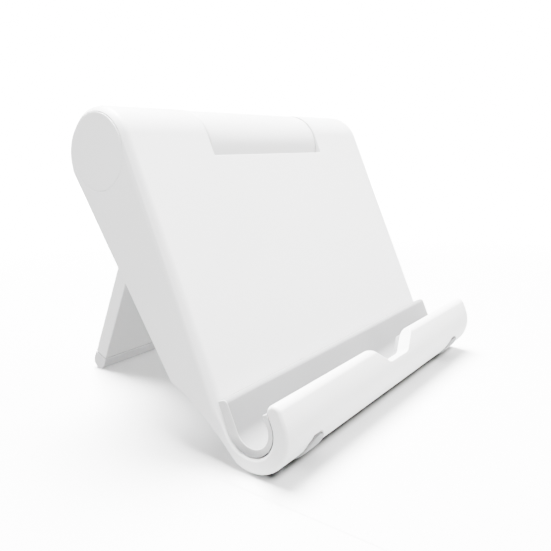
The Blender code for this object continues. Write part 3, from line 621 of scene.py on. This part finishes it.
STRIP_END, END_ROUND = HALF_WIDTH - 0.4 * MM, 0.2 * MM
quarter = np.linspace(0, math.pi / 2, 6)
ends = STRIP_END - END_ROUND + END_ROUND * np.sin(quarter)
plain = np.linspace(15, 54, 24) * MM
notched = np.linspace(-14.6, 14.6, 140) * MM
stations = np.concatenate([-ends[::-1], -plain[::-1], notched, plain, ends])
taken_in = END_ROUND * (1 - np.cos(quarter))
pull = np.concatenate([taken_in[::-1], np.zeros(len(stations) - 2 * len(quarter)), taken_in])
sections = drawn_in(strip_sections(stations), pull)
strip = ring_mesh("channel_strip", plate_place(stations[:, None], sections[..., 0], sections[..., 1]))
stand_for(strip, "channel_liner", "stand", liner_grey)

# %% [markdown]
# ## The end caps
#
# A cap closes each end of the barrel. It could be a disc with a Bevel, but a turned part is simplest as
# a profile of distance from the barrel's end and radius, carried round the hinge axis. Its rim is a
# small round, so that only a hairline shows between it and the barrel. Behind the rim a spigot holds it
# in the bore.

# %% End caps
CAP_R, RIM_R = 9.71 * MM, 0.14 * MM
DISH, SET_IN = 0.05 * MM, 0.02 * MM  # the face's hollow, and how far the face sits inside the barrel's end
FLANGE_BACK, FLANGE_BACK_R = 1.8 * MM, 9.45 * MM
SPIGOT_END, SPIGOT_R, SPIGOT_BORE = 5.8 * MM, 8.3 * MM, 6.8 * MM


def cap_profile():
    """Inwards distance and radius: a face dished by a hair, a rounded rim, then the spigot in the bore."""
    r = np.linspace(0, CAP_R - RIM_R, 20)
    face = np.stack([DISH * (1 - (r / r[-1]) ** 2) + SET_IN, r], -1)
    turn = np.linspace(0, math.pi / 2, 7)[1:]
    rim = np.stack([SET_IN + RIM_R * (1 - np.cos(turn)), CAP_R - RIM_R + RIM_R * np.sin(turn)], -1)
    flange = [(FLANGE_BACK, FLANGE_BACK_R), (FLANGE_BACK, SPIGOT_R)]
    spigot = [(SPIGOT_END, SPIGOT_R), (SPIGOT_END, SPIGOT_BORE)]
    bottom = [(FLANGE_BACK, SPIGOT_BORE), (FLANGE_BACK, 0.0)]
    return np.concatenate([face, rim, flange, spigot, bottom])


def end_cap(name, node, outwards):
    """The profile carried round the axis: radius times the cosine and the sine of the turn."""
    profile = cap_profile()
    turn = np.linspace(0, 2 * math.pi, 97)[:-1, None]
    x = outwards * (HALF_WIDTH - profile[None, :, 0]) + 0 * turn
    y = HINGE[1] + profile[None, :, 1] * np.cos(turn)
    z = HINGE[2] + profile[None, :, 1] * np.sin(turn)
    cap = ring_mesh(name, np.stack([x, y, z], -1), joined_ends=True)
    stand_for(cap, node, "stand", cap_white)


end_cap("left_barrel_cap", "left_end_cap", -1)
end_cap("right_barrel_cap", "right_end_cap", 1)

# %% [markdown]
# ## The rubber pads under the hook
#
# Two round-ended pads wrap the hook's round bottom and keep the stand from sliding. A section, a
# squared oval, is carried round the hook's centre. Its width follows a stadium: full in the middle and
# falling along a circle to almost nothing at each end. The stops lie closer together near the ends,
# where the width changes fastest.

# %% Hook pads
HOOK_MIDDLE, HOOK_R = np.array([-7.4, 10.3]) * MM, 10.4 * MM
PAD_HALF, PAD_PROUD, PAD_DEEP = 3.6 * MM, 0.5 * MM, 1.0 * MM
PAD_FIRST, PAD_LAST = math.radians(-140.7), math.radians(-44.7)
PAD_FROM_SIDE = 13.0 * MM  # a pad's middle, in from the stand's side
SQUARED = 0.4  # 1 is an oval, 0 is a box


def hook_pad(name, node, across):
    """Angle round the hook is one parameter, the turn round a superellipse section is the other.

    Across and radius are half sizes times the cosine and sine of the turn, raised to a power under one.
    """
    share = (1 - np.cos(np.linspace(0.05, math.pi - 0.05, 61))) / 2
    angle = PAD_FIRST + (PAD_LAST - PAD_FIRST) * share
    from_end = np.minimum(angle - PAD_FIRST, PAD_LAST - angle) * HOOK_R
    width = np.sqrt(PAD_HALF**2 - np.clip(PAD_HALF - from_end, 0, None) ** 2)
    turn = np.linspace(0, 2 * math.pi, 41)[:-1]
    oval_x = np.sign(np.cos(turn)) * np.abs(np.cos(turn)) ** SQUARED
    oval_r = np.sign(np.sin(turn)) * np.abs(np.sin(turn)) ** SQUARED
    middle, half = HOOK_R + (PAD_PROUD - PAD_DEEP) / 2, (PAD_PROUD + PAD_DEEP) / 2
    radius = middle + half * oval_r[None, :]
    depth = HOOK_MIDDLE[0] + radius * np.cos(angle)[:, None]
    up = HOOK_MIDDLE[1] + radius * np.sin(angle)[:, None]
    x = across + width[:, None] * oval_x[None, :]
    pad = ring_mesh(name, plate_place(x, depth, up))
    stand_for(pad, node, "stand", foot_grey)


hook_pad("left_hook_pad", "left_hook_foot", -HALF_WIDTH + PAD_FROM_SIDE)
hook_pad("right_hook_pad", "right_hook_foot", HALF_WIDTH - PAD_FROM_SIDE)

# %% [markdown]
# ## The paper
#
# The stand is on white paper that is burnt out to plain white, which a lit surface alone hardly
# reaches. So the paper also glows, not at all near the stand and more with the distance. The crease
# between the round hook and the paper gets almost no light, so the paper is darkened along a narrow
# band there, faded at all its edges.

# %% Paper
CREASE = plate_place(0.0, *HOOK_MIDDLE)[1] - 2.4 * MM  # just in front of where the hook stands
CREASE_DARK, CREASE_FADE = 1.5 * MM, 4.6 * MM  # half widths: where it is darkest, and where it is gone
GLOW_FROM, GLOW_TO, GLOW = 0.16, 0.8, 16.0  # metres from the stand, and the strength beyond

paper, tree, shader = new_material("sweep_paper", (0.95, 0.95, 0.95), 0.8)
shader.inputs["Specular IOR Level"].default_value = 0.1
shader.inputs["Emission Color"].default_value = (1.0, 1.0, 1.0, 1.0)
fibre = noise(tree, 900.0, 3.0)
clean = ramp(tree, fibre, [(0.3, 0.945), (0.7, 0.955)])
dark = ramp(tree, fibre, [(0.3, 0.05), (0.7, 0.06)])
axes = object_axes(tree)
off_crease = worked_out(tree, "ABSOLUTE", worked_out(tree, "SUBTRACT", axes["Y"], float(CREASE)))
in_depth = step(tree, off_crease, CREASE_DARK, CREASE_FADE, 1.0, 0.0)
off_middle = worked_out(tree, "ABSOLUTE", axes["X"])
in_width = step(tree, off_middle, HALF_WIDTH - 3 * MM, HALF_WIDTH + 1 * MM, 1.0, 0.0)
# Painted shade: the paper is darkened along the crease under the hook, where little light reaches.
crease_shade = worked_out(tree, "MULTIPLY", in_depth, in_width)
tree.links.new(mixed(tree, crease_shade, clean, dark), shader.inputs["Base Color"])
place = tree.nodes.new("ShaderNodeTexCoord")
away = tree.nodes.new("ShaderNodeVectorMath")
away.operation = "LENGTH"
tree.links.new(place.outputs["Object"], away.inputs[0])
glow = step(tree, away.outputs["Value"], GLOW_FROM, GLOW_TO, 0.0, GLOW)
tree.links.new(glow, shader.inputs["Emission Strength"])
print("paper darkened along a line %.1f mm in front of the middle" % (-CREASE / MM))

# %% [markdown]
# ## The sweep
#
# White paper behind a white object needs a sweep with no corner: the floor runs out flat and then
# curves up into a wall, here as one surface of revolution. It is so bright that it is left out of the
# bounced light. A separate small sheet in front of the stand, a hair above it, throws light back on the
# hook.

# %% Stage helper
def stage_mesh(name, points, surface):
    """A stage piece from a grid of points, its faces looking up or inwards."""
    index = np.arange(points.shape[0] * points.shape[1]).reshape(points.shape[:2])
    quads = np.stack([index[:-1, :-1], index[1:, :-1], index[1:, 1:], index[:-1, 1:]], axis=-1)
    mesh = bpy.data.meshes.new(name)
    mesh.from_pydata(points.reshape(-1, 3).tolist(), [], quads.reshape(-1, 4).tolist())
    mesh.shade_smooth()
    mesh.materials.append(surface)
    made = bpy.data.objects.new(name, mesh)
    bpy.context.scene.collection.objects.link(made)
    made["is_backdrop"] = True
    return made


# %% Sweep and sheet
FLAT, CURVE = 2.6, 0.9  # metres: the flat floor, the radius of the bend
SHEET_X, SHEET_Y = (-0.062, 0.2), (-0.2, 0.0)
bend = np.linspace(0, math.pi / 2, 13)
floor_rings, wall_tops = [0.001, 0.1, 0.3, 0.6, 1.2, 2.0], [2.0, 3.0, 4.0]
out = np.concatenate([floor_rings, FLAT + CURVE * np.sin(bend), np.full(3, FLAT + CURVE)])
rise = np.concatenate([np.zeros(6), CURVE * (1 - np.cos(bend)), wall_tops])[:, None]
around = np.linspace(0, 2 * math.pi, 73)[None, :]
across, behind = out[:, None] * np.cos(around), out[:, None] * np.sin(around)
rows = np.stack(np.broadcast_arrays(across, behind, rise), axis=-1)
far = stage_mesh("sweep", rows - [0, 0, 0.05 * MM], paper)
far.visible_diffuse = False
far.visible_glossy = False
x, y = np.meshgrid(np.linspace(*SHEET_X, 8), np.linspace(*SHEET_Y, 8), indexing="ij")
stage_mesh("sheet", np.stack([x, y, 0 * x], axis=-1), paper)
print("sweep %.1f m across, sheet %.2f m wide" % (2 * (FLAT + CURVE), SHEET_X[1] - SHEET_X[0]))

# %% [markdown]
# ## The softboxes
#
# One large softbox hangs above and a little behind, which burns out the barrel's top and leaves the
# plate a shade darker than the paper. Two weak ones stand low on the left and high on the right. The
# left one keeps the stand's side a clear grey, and the right one opens the shadow in front of the hook.

# %% Softboxes
def softbox(name, place, target, size, power):
    """A rectangular area light at a place in metres, turned towards its target, of a power in watts."""
    light = bpy.data.lights.new(name, "AREA")
    light.shape = "RECTANGLE"
    light.size, light.size_y = size
    light.energy = power
    made = bpy.data.objects.new(name, light)
    made.location = place
    made.rotation_euler = (Vector(target) - Vector(place)).to_track_quat("-Z", "Y").to_euler()
    bpy.context.scene.collection.objects.link(made)


softbox("top_box", (0.14, 0.26, 1.05), (0, 0, 0.03), (0.6, 0.6), 180.0)
softbox("left_box", (-1.05, -0.3, 0.22), (0, 0, 0.04), (0.5, 0.36), 18.0)
softbox("right_box", (0.9, -0.6, 0.7), (0, 0, 0.04), (0.6, 0.6), 22.0)
print("three softboxes")

# %% [markdown]
# ## The sky
#
# A white studio lights an object from all round. An even white sky does that, a little dimmer from
# below, so that the undersides fall off. The change lies about the horizon and is smooth, so that no
# line shows on the plastic.

# %% Sky
SKY_STRENGTH, GROUND_STRENGTH = 1.1, 0.75
GROUND_BELOW, SKY_ABOVE = -0.25, 0.15  # heights on a unit sphere, between which one becomes the other
sky = bpy.data.worlds.new("studio")
sky.use_nodes = True
background = sky.node_tree.nodes["Background"]
background.inputs["Color"].default_value = (1, 1, 1, 1)
height = object_axes(sky.node_tree)["Z"]
strength = step(sky.node_tree, height, GROUND_BELOW, SKY_ABOVE, GROUND_STRENGTH, SKY_STRENGTH)
sky.node_tree.links.new(strength, background.inputs["Strength"])
bpy.context.scene.world = sky
print("sky %.2f, from below %.2f" % (SKY_STRENGTH, GROUND_STRENGTH))

# %% [markdown]
# ## The finish
#
# The finished pieces may not change the stand's size, so both boxes are printed side by side.

# %% Sizes, then the end
bpy.context.view_layer.update()
new_low, new_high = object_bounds()
cad_size, new_size = np.subtract(cad_high, cad_low), np.subtract(new_high, new_low)
print("CAD box", cad_size.round(4), "finished box", new_size.round(4))
